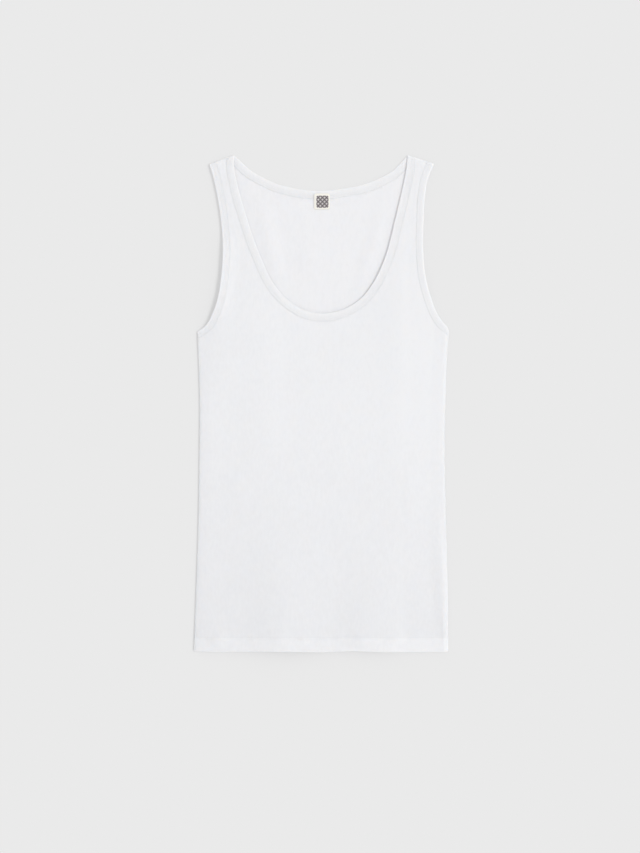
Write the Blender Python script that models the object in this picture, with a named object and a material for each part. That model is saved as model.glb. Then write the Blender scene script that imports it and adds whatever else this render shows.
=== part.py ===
"""Rib-knit tank top, laid flat on its back: two panels, a neck binding, two armhole bindings and a neck label.

Metres, +Z up. The garment lies in the XY plane, shoulders towards +Y and hem towards -Y, with its underside on Z = 0
and the origin under the middle of its outline. Every piece of cloth is drawn by its outer face, the face that would
be seen on the worn garment, and gets its wall inwards from there.
"""

from collections import namedtuple
from math import cos, pi, sin, sqrt

import bmesh
import bpy
import numpy as np

# ---------------------------------------------------------------------------------------------- driving dimensions
LENGTH = 0.650              # top of the shoulder to the hem
CLOTH = 0.0010              # one layer of rib knit
DOUBLED = 0.0018            # a folded binding, or the hem with its turn-up
LABEL_CLOTH = 0.0008        # folded satin of the label
NECK_BINDING = 0.0105       # width of the binding round the neck
ARM_BINDING = 0.0092        # width of the bindings round the armholes
HEM = 0.018                 # depth of the turned-up hem
SEAM_GAP = 0.0003           # clearance between neighbouring pieces
FOLD_SPACE = 0.0012         # room left between the layers in a side or shoulder fold
FOLD_HEIGHT = DOUBLED + FOLD_SPACE / 2  # height of the seam in the middle of such a fold
FOLD_RADIUS = FOLD_HEIGHT   # how far in from a fold the cloth starts to turn down
SEAM_STAND = 0.0005         # straight stretch of a wall beside a seam in a fold
UNDERARM_STAND = 0.4        # share of that stretch left at the top of a side seam
ARM_BACK_SHIFT = 0.0012     # the back armholes lie this far inside the front ones
LABEL_SIZE = 0.0208
LABEL_CENTRE = (0.0007, 0.5893)

# height is measured up from the hem, left and right outwards from the centre line
Outline = namedtuple("Outline", "height left right")

SIDE_EDGES = [
    Outline(0.0000, 0.1672, 0.1662),
    Outline(0.0670, 0.1645, 0.1657),
    Outline(0.1980, 0.1606, 0.1627),
    Outline(0.2640, 0.1598, 0.1616),
    Outline(0.3290, 0.1594, 0.1627),
    Outline(0.3820, 0.1609, 0.1643),
    Outline(0.4190, 0.1625, 0.1672),
]

ARMHOLE_EDGES = [
    Outline(0.4190, 0.1625, 0.1672),
    Outline(0.4240, 0.1543, 0.1656),
    Outline(0.4300, 0.1487, 0.1600),
    Outline(0.4405, 0.1432, 0.1526),
    Outline(0.4602, 0.1360, 0.1444),
    Outline(0.4864, 0.1314, 0.1372),
    Outline(0.5257, 0.1288, 0.1333),
    Outline(0.5650, 0.1314, 0.1339),
    Outline(0.5912, 0.1353, 0.1352),
    Outline(0.6174, 0.1406, 0.1391),
    Outline(0.6385, 0.1466, 0.1474),
]

FRONT_NECK_EDGE = [
    Outline(0.4424, 0.0000, 0.0000),
    Outline(0.4470, 0.0225, 0.0265),
    Outline(0.4615, 0.0455, 0.0510),
    Outline(0.4790, 0.0610, 0.0657),
    Outline(0.5160, 0.0794, 0.0835),
    Outline(0.5650, 0.0968, 0.0965),
    Outline(0.6050, 0.1083, 0.1059),
    Outline(0.6330, 0.1140, 0.1114),
    Outline(0.6500, 0.1145, 0.1131),
]

BACK_NECK_EDGE = [
    Outline(0.6030, 0.0000, 0.0000),
    Outline(0.6060, 0.0340, 0.0290),
    Outline(0.6120, 0.0580, 0.0575),
    Outline(0.6225, 0.0806, 0.0823),
    Outline(0.6300, 0.0930, 0.0944),
    Outline(0.6400, 0.1040, 0.1043),
    Outline(0.6500, 0.1145, 0.1131),
]

# a soft fold runs along the line from its top to its foot, and lifts the cloth most along that line
Fold = namedtuple("Fold", "x_top height_top x_foot height_foot half_width lift")

FRONT_FOLDS = [
    Fold(-0.070, 0.400, -0.062, 0.270, 0.021, 0.0014),
    Fold(-0.040, 0.190, -0.038, -0.120, 0.058, 0.0017),
    Fold(0.062, 0.160, 0.064, -0.100, 0.042, 0.0015),
    Fold(0.133, 0.190, 0.158, -0.020, 0.012, 0.0011),
    Fold(0.122, 0.500, 0.116, 0.250, 0.020, 0.0010),
    Fold(-0.118, 0.420, -0.136, 0.300, 0.018, 0.0012),
    Fold(0.030, 0.400, 0.012, 0.210, 0.030, 0.0009),
]

BACK_FOLDS = [
    Fold(-0.086, 0.600, -0.052, 0.452, 0.019, 0.0017),
    Fold(0.090, 0.612, 0.040, 0.448, 0.017, 0.0020),
    Fold(-0.018, 0.560, -0.014, 0.455, 0.020, 0.0008),
]

# rows and columns of the panels
FOLD_STEP = 0.0008                              # a row or column this far in from a fold shapes its turn
UNDERARM_STEP = 0.0031                          # the first row of a panel past its underarm corner
ROLL_STEPS = (0.0, 0.0, FOLD_STEP, FOLD_RADIUS)     # columns in from a side fold, the first two for its seam
SEAM_STEPS = (0.0, 0.0007, 0.0015, 0.0026)      # the same columns beside an armhole binding
FRONT_COLUMNS = 13
BACK_COLUMNS = 12
EDGE_ROWS = 16                                  # stations along an armhole, between its two ends
BACK_CENTRE_ROWS = 12                           # so many of them lie below the middle of the back neckline
CENTRE_AT_UNDERARM = 0.430                      # height on the back's centre line of the row from its underarm
HEM_ROWS = (0.0, 0.0005, 0.0015, 0.0090, 0.0165, 0.0195)
FRONT_BODY_ROWS = 14
BACK_BODY_ROWS = 7

# a binding in section: distance from its folded edge, drop of the outer face, thickness, as shares
Section = namedtuple("Section", "across drop thickness")
BINDING_SECTION = [
    Section(0.00, 0.30, 0.40),
    Section(0.06, 0.07, 0.86),
    Section(0.18, 0.00, 1.00),
    Section(0.88, 0.00, 1.00),
    Section(1.00, 0.14, 0.72),
]
# the folded hem in section, by the same shares, for the rows of HEM_ROWS
HEM_SECTION = [
    Section(0.0, 0.30, 0.40),
    Section(0.0, 0.08, 0.84),
    Section(0.0, 0.00, 1.00),
    Section(0.0, 0.00, 1.00),
    Section(0.0, 0.00, 1.00),
    Section(0.0, 0.00, CLOTH / DOUBLED),
]

LEFT, RIGHT = -1, 1
CURVE_STEPS = 16


# ------------------------------------------------------------------------------------------------- plan of the cut
def smoothstep(low, high, value):
    """0 below low, 1 above high and a soft ramp between."""
    share = min(max((value - low) / (high - low), 0.0), 1.0)
    return share * share * (3 - 2 * share)


def smooth_curve(points):
    """Dense points on a smooth curve through the given ones."""
    knots = np.array(points, float)
    chord = np.concatenate([[0.0], np.cumsum(np.linalg.norm(np.diff(knots, axis=0), axis=1))])
    slopes = np.gradient(knots, chord, axis=0)
    dense = [knots[0]]
    for i in range(len(knots) - 1):
        span = chord[i + 1] - chord[i]
        for step in range(1, CURVE_STEPS + 1):
            t = step / CURVE_STEPS
            dense.append((2 * t**3 - 3 * t**2 + 1) * knots[i] + (t**3 - 2 * t**2 + t) * span * slopes[i]
                         + (3 * t**2 - 2 * t**3) * knots[i + 1] + (t**3 - t**2) * span * slopes[i + 1])
    return np.array(dense)


def outline_point(row, side):
    """The plan point of an outline row on one side of the garment."""
    across = row.left if side == LEFT else row.right
    return (side * across, row.height - LENGTH / 2)


def side_point(height, side):
    """Where the side fold lies at a height above the hem."""
    curve = SIDE_CURVES[side]
    return np.array([np.interp(height - LENGTH / 2, curve[:, 1], curve[:, 0]), height - LENGTH / 2])


def unit(vector):
    return vector / np.linalg.norm(vector)


class Edge:
    """A cut edge in plan, read by the distance along it, with the direction across the binding at each place."""

    def __init__(self, points, turn, width, start_across, end_across):
        self.points = points
        self.turn = turn
        self.width = width
        self.start_across = start_across
        self.end_across = end_across
        steps = np.linalg.norm(np.diff(points, axis=0), axis=1)
        self.distances = np.concatenate([[0.0], np.cumsum(steps)])
        self.length = self.distances[-1]

    def at(self, distance):
        return np.array([np.interp(distance, self.distances, self.points[:, axis]) for axis in (0, 1)])

    def across(self, distance):
        """Unit direction from the free edge into the cloth, turned to lie along the folds at both ends."""
        reach = 0.002
        along = self.at(min(distance + reach, self.length)) - self.at(max(distance - reach, 0.0))
        square = unit(np.array([-along[1], along[0]]) * self.turn)
        start = 1 - smoothstep(0.002, 0.022, distance)
        end = 1 - smoothstep(0.003, 0.026, self.length - distance)
        return unit(square * (1 - start) * (1 - end) + self.start_across * start + self.end_across * end)

    def seam(self, distance, extra=0.0):
        """The point on the seam of the binding, or a little past it."""
        return self.at(distance) + self.across(distance) * (self.width + extra)


SIDE_CURVES = {side: smooth_curve([outline_point(row, side) for row in SIDE_EDGES]) for side in (LEFT, RIGHT)}


def shoulder_ends(side):
    """The outer and the inner end of a shoulder fold."""
    return np.array(outline_point(ARMHOLE_EDGES[-1], side)), np.array(outline_point(FRONT_NECK_EDGE[-1], side))


def armhole_edge(side, shift):
    """An armhole, from the underarm up to the shoulder. shift moves its middle into the cloth."""
    points = smooth_curve([outline_point(row, side) for row in ARMHOLE_EDGES])
    tip = points[0]
    outer, inner = shoulder_ends(side)
    down = unit(side_point(ARMHOLE_EDGES[0].height - ARM_BINDING, side) - tip)
    edge = Edge(points, side, ARM_BINDING, down, unit(inner - outer))
    if shift:
        moved = [point + edge.across(d) * shift * sin(pi * d / edge.length)
                 for point, d in zip(points, edge.distances)]
        edge = Edge(np.array(moved), side, ARM_BINDING, down, unit(inner - outer))
    return edge


def neck_edge(rows, side):
    """Half a neckline, from its lowest point up to the shoulder."""
    left = [outline_point(row, LEFT) for row in rows]
    right = [outline_point(row, RIGHT) for row in rows]
    whole = smooth_curve(left[:0:-1] + right)
    middle = (len(rows) - 1) * CURVE_STEPS
    points = whole[middle::-1] if side == LEFT else whole[middle:]
    outer, inner = shoulder_ends(side)
    return Edge(points, -side, NECK_BINDING, np.array([0.0, -1.0]), unit(outer - inner))


ARM_FRONT = {side: armhole_edge(side, 0.0) for side in (LEFT, RIGHT)}
ARM_BACK = {side: armhole_edge(side, ARM_BACK_SHIFT) for side in (LEFT, RIGHT)}
NECK_FRONT = {side: neck_edge(FRONT_NECK_EDGE, side) for side in (LEFT, RIGHT)}
NECK_BACK = {side: neck_edge(BACK_NECK_EDGE, side) for side in (LEFT, RIGHT)}
UNDERARM_ALONG = {side: unit(arm.seam(UNDERARM_STEP) - arm.seam(0.0)) for side, arm in ARM_FRONT.items()}


# ---------------------------------------------------------------------------------------------- heights of the cloth
def fold_lift(x, y, folds):
    """How far the folds lift the cloth at a plan point."""
    lift = 0.0
    for fold in folds:
        top = np.array([fold.x_top, fold.height_top - LENGTH / 2])
        foot = np.array([fold.x_foot, fold.height_foot - LENGTH / 2])
        line = foot - top
        share = np.dot((x, y) - top, line) / np.dot(line, line)
        if 0 < share < 1:
            distance = np.linalg.norm((x, y) - top - line * share)
            if distance < fold.half_width:
                ends = smoothstep(0, 0.35, share) * smoothstep(0, 0.35, 1 - share)
                lift += fold.lift * cos(pi / 2 * distance / fold.half_width) ** 2 * ends
    return lift


def fold_distance(x, y):
    """Distance in plan from the nearest side fold or shoulder fold."""
    side = LEFT if x < 0 else RIGHT
    height = min(y + LENGTH / 2, SIDE_EDGES[-1].height)
    from_side = abs(side_point(height, side)[0]) - abs(x)
    outer, inner = shoulder_ends(side)
    along = unit(inner - outer)
    from_shoulder = abs(along[0] * (y - outer[1]) - along[1] * (x - outer[0]))
    return max(min(from_side, from_shoulder), 0.0), max(from_side, 0.0), from_shoulder


def edge_distance(edge, x, y):
    return np.sqrt(((edge.points - (x, y)) ** 2).sum(axis=1)).min()


def front_middle(x, y):
    """Height of the middle of the front layer: on the back panel, and raised over bindings, hem and side folds."""
    side = LEFT if x < 0 else RIGHT
    height = y + LENGTH / 2
    _, from_side, from_shoulder = fold_distance(x, y)
    on_panel = 1.5 * CLOTH + SEAM_GAP
    on_binding = 1.5 * DOUBLED + FOLD_SPACE
    full = on_binding - on_panel
    hem_rise = DOUBLED + SEAM_GAP + DOUBLED / 2 - on_panel
    neck_rise = CLOTH + SEAM_GAP + DOUBLED / 2 - on_panel
    raised = [
        1 - smoothstep(0.011, 0.034, edge_distance(ARM_FRONT[side], x, y)),
        1 - smoothstep(0.004, 0.020, from_side) if height < SIDE_EDGES[-1].height else 0.0,
        1 - smoothstep(0.028, 0.075, from_shoulder),
        hem_rise / full * (1 - smoothstep(0.021, 0.036, height)),
        neck_rise / full * (1 - smoothstep(0.012, 0.030, edge_distance(NECK_FRONT[side], x, y))),
    ]
    flat = 1.0
    for share in raised:
        flat *= 1 - share
    return on_panel + full * (1 - flat) + fold_lift(x, y, FRONT_FOLDS)


def turned_down(level, distance):
    """Height of an outer face near a fold, where it turns towards the seam."""
    if distance >= FOLD_RADIUS:
        return level
    inward = 1 - distance / FOLD_RADIUS
    return FOLD_HEIGHT + (level - FOLD_HEIGHT) * sqrt(1 - inward * inward)


def front_face(x, y, thickness, drop=0.0):
    """Height of the outer face of the front layer."""
    return turned_down(front_middle(x, y) + thickness / 2 - drop, fold_distance(x, y)[0])


def back_face(x, y, thickness, drop=0.0):
    """Height of the outer face of the back layer, which rests on the table."""
    lift = 0.0
    side = LEFT if x < 0 else RIGHT
    clear = edge_distance(NECK_FRONT[side], x, y)
    inside = abs(x) < abs(np.interp(y, NECK_FRONT[side].points[:, 1], NECK_FRONT[side].points[:, 0]))
    if inside:
        lift = fold_lift(x, y, BACK_FOLDS) * smoothstep(0.010, 0.024, clear)
    return turned_down(drop + lift, fold_distance(x, y)[0])


FACES = {"front": (front_face, 1), "back": (back_face, -1)}


def seam_height(layer, stand):
    """Height of a wall's end beside a seam in a fold, or of its straight stretch next to that."""
    return FOLD_HEIGHT + FACES[layer][1] * (SEAM_GAP / 2 + SEAM_STAND * stand)


# -------------------------------------------------------------------------------------------------- making the cloth
def material(name, colour, roughness):
    mat = bpy.data.materials.new(name)
    mat.use_nodes = True
    shader = mat.node_tree.nodes["Principled BSDF"]
    shader.inputs["Base Color"].default_value = (*colour, 1.0)
    shader.inputs["Roughness"].default_value = roughness
    shader.inputs["Metallic"].default_value = 0.0
    return mat


def through_wall(x, y, z, thickness, layer):
    """A point of the outer face and the one behind it on the inner face, straight in but turned level in a fold."""
    distance, from_side, from_shoulder = fold_distance(x, y)
    level = 1 - min(distance / FOLD_RADIUS, 1.0)
    side = LEFT if x < 0 else RIGHT
    if from_side < from_shoulder:
        seam_y = ARM_FRONT[side].seam(0.0)[1]
        into = unit(np.array([-side, 0.0]) + UNDERARM_ALONG[side] * 20 * smoothstep(seam_y - 0.020, seam_y, y))
    else:
        outer, inner = shoulder_ends(side)
        along = unit(inner - outer)
        into = side * np.array([-along[1], along[0]])
    plan = np.array([x, y]) + into * thickness * level
    return (x, y, z), (plan[0], plan[1], z - FACES[layer][1] * thickness * sqrt(1 - level * level))


def cloth_object(name, grids, mat):
    """One closed piece of cloth from grids of paired points on its outer and its inner face.

    grids is a list of (rows, flipped). Points that two grids share are welded.
    """
    mesh = bpy.data.meshes.new(name)
    bm = bmesh.new()
    found = {}

    def vertices(pair):
        key = tuple(round(value, 7) for value in pair[0])
        if key not in found:
            found[key] = [bm.verts.new(point) for point in pair]
        return found[key]

    for rows, flipped in grids:
        for low, high in zip(rows, rows[1:]):
            for i in range(len(low) - 1):
                corners = [vertices(pair) for pair in (low[i], low[i + 1], high[i + 1], high[i])]
                if flipped:
                    corners.reverse()
                bm.faces.new([outer for outer, _ in corners])
                bm.faces.new([inner for _, inner in reversed(corners)])
    behind = dict(found.values())
    for edge in [edge for edge in bm.edges if edge.is_boundary and edge.verts[0] in behind]:
        start, end = edge.link_loops[0].vert, edge.link_loops[0].link_loop_next.vert
        bm.faces.new([end, start, behind[start], behind[end]])
    bm.to_mesh(mesh)
    bm.free()
    mesh.materials.append(mat)
    mesh.shade_smooth()
    GARMENT.objects.link(bpy.data.objects.new(name, mesh))


def panel_columns(outer, inner, steps, count):
    """Plan points across half a panel: fixed steps beside its outer edge, even ones to the inner edge."""
    across = inner - outer
    width = np.linalg.norm(across)
    shares = [step / width for step in steps]
    shares += [shares[-1] + (1 - shares[-1]) * (i + 1) / count for i in range(count)]
    return [outer + across * share for share in shares]


def armhole_stations(edge):
    """Distances along an armhole for the rows of a panel: closer in the underarm's curve and the shoulder fold."""
    top = edge.length - FOLD_RADIUS
    even = [UNDERARM_STEP + (top - UNDERARM_STEP) * (i / EDGE_ROWS) ** 1.12 for i in range(EDGE_ROWS + 1)]
    return [0.0] + even + [edge.length - FOLD_STEP, edge.length]


def neck_stations(edge, count):
    """As many distances along a neckline as a panel has rows for it, closer in the shoulder fold."""
    top = edge.length - FOLD_RADIUS
    even = count - 3
    return [top * i / even for i in range(even + 1)] + [edge.length - FOLD_STEP, edge.length]


def hem_row(index, x, side):
    """Height above the hem line of a hem row, with the corner rounded off."""
    radius = 0.0020 if side == LEFT else 0.0040
    into_corner = max(abs(x) - (abs(side_point(0.0, side)[0]) - radius), 0.0) / radius
    corner = radius * (1 - sqrt(1 - min(into_corner, 1.0) ** 2))
    return HEM_ROWS[index] + corner * max(1 - HEM_ROWS[index] / HEM, 0.0)


def hem_thickness(index, x, side):
    """Wall and drop of the outer face in a hem row. The turn-up thins out just before the side seam."""
    section = HEM_SECTION[index] if index < len(HEM_SECTION) else HEM_SECTION[-1]
    from_side = abs(side_point(0.0, side)[0]) - abs(x)
    full = smoothstep(0.002, 0.008, from_side)
    thin = CLOTH / DOUBLED * min(section.thickness * 2, 1.0)
    return DOUBLED * (thin + (section.thickness - thin) * max(full, 0.0)), DOUBLED * section.drop


def panel_half(layer, side, arm, neck, columns, body_rows, centre_rows):
    """Rows of points for half a panel.

    arm and neck are its armhole and neckline. Below the underarm the rows run from the side fold to the centre
    line. centre_rows more of them start on the armhole before the neckline is reached.
    """
    face = FACES[layer][0]
    on_arm = armhole_stations(arm)
    on_neck = neck_stations(neck, len(on_arm) - centre_rows)
    neck_start = neck.seam(0.0, SEAM_GAP)
    underarm = arm.seam(0.0, SEAM_GAP)
    underarm_height = underarm[1] + LENGTH / 2
    rows = []

    def point(plan, thickness, drop=0.0, height=None):
        z = face(plan[0], plan[1], thickness, drop) if height is None else height
        return through_wall(plan[0], plan[1], z, thickness, layer)

    centre_height = CENTRE_AT_UNDERARM if centre_rows else neck_start[1] + LENGTH / 2
    shares = [0.0] * len(HEM_ROWS) + [(i + 1) / body_rows for i in range(body_rows)]
    for index, share in enumerate(shares):
        start = HEM_ROWS[min(index, len(HEM_ROWS) - 1)]
        outer = underarm if share == 1 else side_point(start + (underarm_height - start) * share, side)
        inner = np.array([neck_start[0] * share, start + (centre_height - start) * share - LENGTH / 2])
        plans = panel_columns(outer, inner, ROLL_STEPS, columns)
        row = []
        for i, plan in enumerate(plans):
            thickness, drop = CLOTH, 0.0
            if index < len(HEM_ROWS):
                plan = np.array([plan[0], hem_row(index, plan[0], side) - LENGTH / 2])
                thickness, drop = hem_thickness(index, plan[0], side)
            stand = i * (UNDERARM_STAND if share == 1 else 1.0)
            row.append(point(plan, thickness, drop, seam_height(layer, stand) if i < 2 else None))
        rows.append(row)

    for index, distance in enumerate(on_arm[1:], 1):
        outer = arm.seam(distance, SEAM_GAP)
        if index <= centre_rows:
            share = index / centre_rows
            inner = np.array([neck_start[0], CENTRE_AT_UNDERARM - LENGTH / 2])
            inner = inner + (neck_start - inner) * share
        else:
            inner = neck.seam(on_neck[index - centre_rows], SEAM_GAP)
        plans = panel_columns(outer, inner, SEAM_STEPS, columns)
        stand = 1 if index == len(on_arm) - 1 else None
        rows.append([point(plan, CLOTH, height=seam_height(layer, stand) if stand else None) for plan in plans])
    rows.append([point(plan, CLOTH, height=seam_height(layer, 0)) for plan in plans])
    return rows


def panel(name, layer, arms, necks, columns, body_rows, centre_rows, mat):
    grids = []
    for side in (LEFT, RIGHT):
        rows = panel_half(layer, side, arms[side], necks[side], columns, body_rows, centre_rows)
        grids.append((rows, (side == RIGHT) != (layer == "back")))
    cloth_object(name, grids, mat)


def rung(edge, distance, layer, height=None):
    """Points across a binding at one station, from its free edge to its seam. It is pressed thinner in a fold."""
    start, across = edge.at(distance), edge.across(distance)
    points = []
    for section in BINDING_SECTION:
        x, y = start + across * edge.width * section.across
        full = CLOTH + (DOUBLED - CLOTH) * smoothstep(0.001, 0.006, fold_distance(x, y)[0])
        z = FACES[layer][0](x, y, DOUBLED, DOUBLED * section.drop) if height is None else height
        points.append(through_wall(x, y, z, full * section.thickness, layer))
    return points


def armhole_binding(name, side, mat):
    """A folded strip from the underarm seam up the front armhole, over the shoulder and down the back one."""
    front, back = ARM_FRONT[side], ARM_BACK[side]
    rows = [rung(front, 0.0, "front", seam_height("front", 0)), rung(front, 0.0, "front", seam_height("front", 1))]
    rows += [rung(front, d, "front") for d in [FOLD_STEP] + armhole_stations(front)[1:-1]]
    rows.append(rung(front, front.length, "front", FOLD_HEIGHT))
    rows += [rung(back, d, "back") for d in armhole_stations(back)[-2:0:-1] + [FOLD_STEP]]
    rows += [rung(back, 0.0, "back", seam_height("back", 1)), rung(back, 0.0, "back", seam_height("back", 0))]
    cloth_object(name, [(rows, side == RIGHT)], mat)


def neck_binding(name, mat):
    """A folded strip round the whole neck, joined at the left shoulder."""
    arm_rows = len(armhole_stations(ARM_FRONT[LEFT]))
    front = {side: neck_stations(NECK_FRONT[side], arm_rows) for side in (LEFT, RIGHT)}
    back = {side: neck_stations(NECK_BACK[side], arm_rows - BACK_CENTRE_ROWS) for side in (LEFT, RIGHT)}
    left, right = NECK_FRONT[LEFT], NECK_FRONT[RIGHT]
    rows = [rung(left, left.length, "front", seam_height("front", stand)) for stand in (0, 1)]
    rows += [rung(left, d, "front") for d in front[LEFT][-2::-1]]
    rows += [rung(right, d, "front") for d in front[RIGHT][1:-1]]
    rows.append(rung(right, right.length, "front", FOLD_HEIGHT))
    left, right = NECK_BACK[LEFT], NECK_BACK[RIGHT]
    rows += [rung(right, d, "back") for d in back[RIGHT][-2::-1]]
    rows += [rung(left, d, "back") for d in back[LEFT][1:-1]]
    rows += [rung(left, left.length, "back", seam_height("back", stand)) for stand in (1, 0)]
    cloth_object(name, [(rows, False)], mat)


def neck_label(name, mat):
    """A square label sewn over the lower edge of the back neck binding."""
    binding_seam = NECK_BACK[LEFT].seam(0.0)[1]
    count = 8
    rows = []
    for r in range(count + 1):
        row = []
        for c in range(count + 1):
            x = LABEL_CENTRE[0] + LABEL_SIZE * (c / count - 0.5)
            y = LABEL_CENTRE[1] - LENGTH / 2 + LABEL_SIZE * (r / count - 0.5)
            under = CLOTH + (DOUBLED - CLOTH) * smoothstep(-0.0065, -0.0005, y - binding_seam)
            row.append([(x, y, under + SEAM_GAP + level * LABEL_CLOTH) for level in (1, 0)])
        rows.append(row)
    cloth_object(name, [(rows, False)], mat)


for old in list(bpy.data.objects):
    bpy.data.objects.remove(old)

GARMENT = bpy.data.collections.new("tank_top")
bpy.context.scene.collection.children.link(GARMENT)

RIB = material("white rib knit", (0.86, 0.86, 0.88), 0.92)
TRIM = material("white binding", (0.88, 0.88, 0.90), 0.90)
SATIN = material("cream satin", (0.84, 0.80, 0.70), 0.60)

panel("back_panel", "back", ARM_BACK, NECK_BACK, BACK_COLUMNS, BACK_BODY_ROWS, BACK_CENTRE_ROWS, RIB)
panel("front_panel", "front", ARM_FRONT, NECK_FRONT, FRONT_COLUMNS, FRONT_BODY_ROWS, 0, RIB)
neck_binding("neck_binding", TRIM)
armhole_binding("left_armhole_binding", LEFT, TRIM)
armhole_binding("right_armhole_binding", RIGHT, TRIM)
neck_label("neck_label", SATIN)
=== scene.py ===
"""White fine-rib tank top, laid flat on its back on a pale table.

Metres, +Z up: shoulders towards +Y, hem towards -Y, the table at Z = 0. The sections follow the garment as it
is put together: back panel, front panel, neck binding, armhole bindings, stitching, neck label, and then the
table and the light.
"""

from collections import namedtuple

import bmesh
import bpy
import numpy as np
from mathutils.bvhtree import BVHTree
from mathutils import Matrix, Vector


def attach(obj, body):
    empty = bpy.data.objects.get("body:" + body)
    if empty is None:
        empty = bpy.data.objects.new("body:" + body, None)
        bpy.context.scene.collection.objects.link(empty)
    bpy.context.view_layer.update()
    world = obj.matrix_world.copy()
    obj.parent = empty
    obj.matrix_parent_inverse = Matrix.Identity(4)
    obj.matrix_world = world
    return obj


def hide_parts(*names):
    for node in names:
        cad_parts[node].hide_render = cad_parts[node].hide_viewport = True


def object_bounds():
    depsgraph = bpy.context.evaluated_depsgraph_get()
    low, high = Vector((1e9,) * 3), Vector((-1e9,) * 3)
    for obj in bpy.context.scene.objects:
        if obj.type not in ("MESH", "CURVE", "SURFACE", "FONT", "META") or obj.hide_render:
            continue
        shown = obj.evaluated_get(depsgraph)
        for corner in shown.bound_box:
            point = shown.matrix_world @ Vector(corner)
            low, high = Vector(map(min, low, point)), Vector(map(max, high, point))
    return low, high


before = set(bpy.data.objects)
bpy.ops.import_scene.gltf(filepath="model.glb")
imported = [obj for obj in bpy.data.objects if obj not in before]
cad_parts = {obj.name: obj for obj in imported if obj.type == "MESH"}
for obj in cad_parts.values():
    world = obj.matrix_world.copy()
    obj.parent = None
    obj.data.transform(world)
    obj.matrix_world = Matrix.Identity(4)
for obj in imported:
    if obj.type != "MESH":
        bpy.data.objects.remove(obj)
CAD_LOW, CAD_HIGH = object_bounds()

# ------------------------ back panel
# The back of the tank top, one layer of bleached cotton in a fine rib that runs from hem to shoulder, its
# hem turned up. It lies right side down on the table, so only its inside shows, in the scoop of the front.
LENGTH = CAD_HIGH.y - CAD_LOW.y     # top of the shoulder to the hem
CLOTH = 0.0010                      # one layer of rib knit
DOUBLED = 0.0018                    # a folded binding, or the hem with its turn-up
HEM = 0.0180                        # depth of the turned-up hem
NECK_BINDING = 0.0105
ARM_BINDING = 0.0092
RIB = 0.0013                        # from one rib to the next
RIB_HEIGHT = 0.00015
RIB_STEPS = 3                       # columns of points to a rib
COURSE = 0.0009                     # height of one row of knitting
THICK_FOLD = 0.0019                 # middle of a fold of bindings or hems, above the table
THIN_FOLD = 0.0017                  # middle of a side fold where single layers meet
HEM_FALL = (0.016, 0.040)           # up these heights a side fold goes over from thick to thin
UNDERARM_RISE = (0.350, 0.405)      # and back again
FOLD_ROUND = 1.6                    # the cloth rolls into a fold on a curve of this power, 2 being a circle
SHOULDER_TURN = 0.0024              # the cloth turns down into a shoulder fold over this width
UNDER_BINDING = 0.0030              # cut edge of a panel, past the seam into the binding
ARM_BACK_SHIFT = 0.0006             # the back armholes lie this far inside the front ones
BACK_ROW = 0.0080                   # rows of points up the panel
LEFT, RIGHT = -1, 1
FRONT, BACK = 1, -1                 # the way the outer face of a layer looks
# the cloth turns down into a side fold over this width: by layer, on the left and on the right
Turn = namedtuple("Turn", "hem side underarm")
SIDE_TURNS = {FRONT: (Turn(0.0240, 0.0150, 0.0130), Turn(0.0070, 0.0080, 0.0060)),
              BACK: (Turn(0.0030, 0.0050, 0.0030), Turn(0.0030, 0.0050, 0.0030))}
HEM_TURN_END = (0.010, 0.070)       # heights over which the first of them gives way to the second
UNDERARM_TURN_START = (0.360, 0.410)    # and the second to the third

# height is measured up from the hem, left and right outwards from the centre line
Outline = namedtuple("Outline", "height left right")
SIDE_EDGES = [Outline(*row) for row in [
    (0.0000, 0.1672, 0.1662), (0.0670, 0.1645, 0.1657), (0.1980, 0.1606, 0.1627),
    (0.2640, 0.1598, 0.1616), (0.3290, 0.1594, 0.1627), (0.3820, 0.1609, 0.1643),
    (0.4190, 0.1625, 0.1672),
]]
ARMHOLE_EDGES = [Outline(*row) for row in [
    (0.4190, 0.1625, 0.1672), (0.4240, 0.1543, 0.1656), (0.4300, 0.1487, 0.1600),
    (0.4405, 0.1432, 0.1526), (0.4602, 0.1360, 0.1444), (0.4864, 0.1314, 0.1372),
    (0.5257, 0.1288, 0.1333), (0.5650, 0.1314, 0.1339), (0.5912, 0.1353, 0.1352),
    (0.6174, 0.1406, 0.1391), (0.6385, 0.1466, 0.1474),
]]
FRONT_NECK_EDGE = [Outline(*row) for row in [
    (0.4424, 0.0000, 0.0000), (0.4470, 0.0225, 0.0265), (0.4615, 0.0455, 0.0510),
    (0.4790, 0.0610, 0.0657), (0.5160, 0.0794, 0.0835), (0.5650, 0.0968, 0.0965),
    (0.6050, 0.1083, 0.1059), (0.6330, 0.1140, 0.1114), (0.6500, 0.1145, 0.1131),
]]
BACK_NECK_EDGE = [Outline(*row) for row in [
    (0.6030, 0.0000, 0.0000), (0.6060, 0.0340, 0.0290), (0.6120, 0.0580, 0.0575),
    (0.6225, 0.0806, 0.0823), (0.6300, 0.0930, 0.0944), (0.6400, 0.1040, 0.1043),
    (0.6500, 0.1145, 0.1131),
]]

# a soft fold lifts the cloth most along the line from its top to its foot, and dies out to both sides
Fold = namedtuple("Fold", "x_top height_top x_foot height_foot left_reach right_reach lift")
FOLD_END = 0.35                     # the share of its line over which a fold rises at each end
BACK_FOLDS = [Fold(*row) for row in [
    (-0.086, 0.610, -0.050, 0.440, 0.019, 0.019, 0.0016),
    (0.092, 0.618, 0.042, 0.440, 0.016, 0.016, 0.0013),
    (-0.018, 0.570, -0.014, 0.450, 0.022, 0.022, 0.0007),
]]


def ramp(low, high, value):
    """0 below low, 1 above high and a soft rise between."""
    share = np.clip((value - low) / (high - low), 0.0, 1.0)
    return share * share * (3 - 2 * share)


def unit(vector):
    return vector / np.linalg.norm(vector, axis=-1, keepdims=True)


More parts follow.
